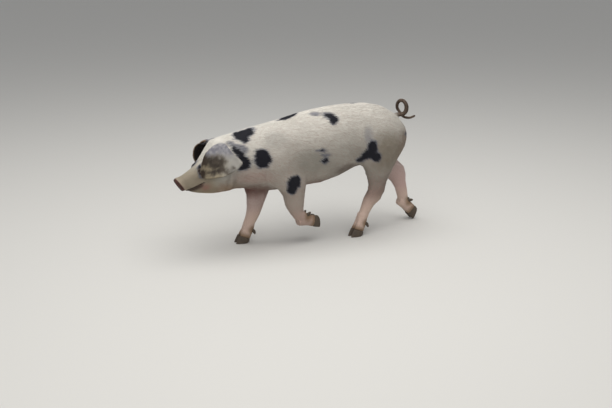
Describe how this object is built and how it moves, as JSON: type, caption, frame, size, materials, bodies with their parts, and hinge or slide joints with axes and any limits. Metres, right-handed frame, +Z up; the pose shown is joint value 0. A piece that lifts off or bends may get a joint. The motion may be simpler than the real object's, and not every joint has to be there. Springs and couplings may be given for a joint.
{
  "type": "pig",
  "caption": "Young lop-eared pig, white with black spots, walking with one fore foot lifted and a curled tail; a life-size still model.",
  "frame": {"origin": "on the floor, under the middle of the bounding box", "axes": "+Z up, -Y the way the pig faces, +X the pig's left"},
  "size_m": [0.276, 1.2288, 0.6042],
  "materials": {
    "hide": "short coarse white hair over pink skin, with black spots",
    "snout_skin": "bare moist skin",
    "horn": "dull dark horn",
    "eye": "wet and glossy"
  },
  "bodies": {
    "root": {"head": "hide", "neck": "hide", "trunk": "hide", "tail": "hide", "ear_left": "hide", "ear_right": "hide", "snout": "snout_skin", "foreleg_left_upper": "hide", "foreleg_left_lower": "hide", "foreleg_left_foot": "hide", "foreleg_left_hoof_left": "horn", "foreleg_left_hoof_right": "horn", "foreleg_left_dewclaw_left": "horn", "foreleg_left_dewclaw_right": "horn", "foreleg_right_upper": "hide", "foreleg_right_lower": "hide", "foreleg_right_foot": "hide", "foreleg_right_hoof_left": "horn", "foreleg_right_hoof_right": "horn", "foreleg_right_dewclaw_left": "horn", "foreleg_right_dewclaw_right": "horn", "hindleg_left_upper": "hide", "hindleg_left_lower": "hide", "hindleg_left_foot": "hide", "hindleg_left_hoof_left": "horn", "hindleg_left_hoof_right": "horn", "hindleg_left_dewclaw_left": "horn", "hindleg_left_dewclaw_right": "horn", "hindleg_right_upper": "hide", "hindleg_right_lower": "hide", "hindleg_right_foot": "hide", "hindleg_right_hoof_left": "horn", "hindleg_right_hoof_right": "horn", "hindleg_right_dewclaw_left": "horn", "hindleg_right_dewclaw_right": "horn", "eye_left": "eye", "eye_right": "eye"}
  },
  "joints": []
}
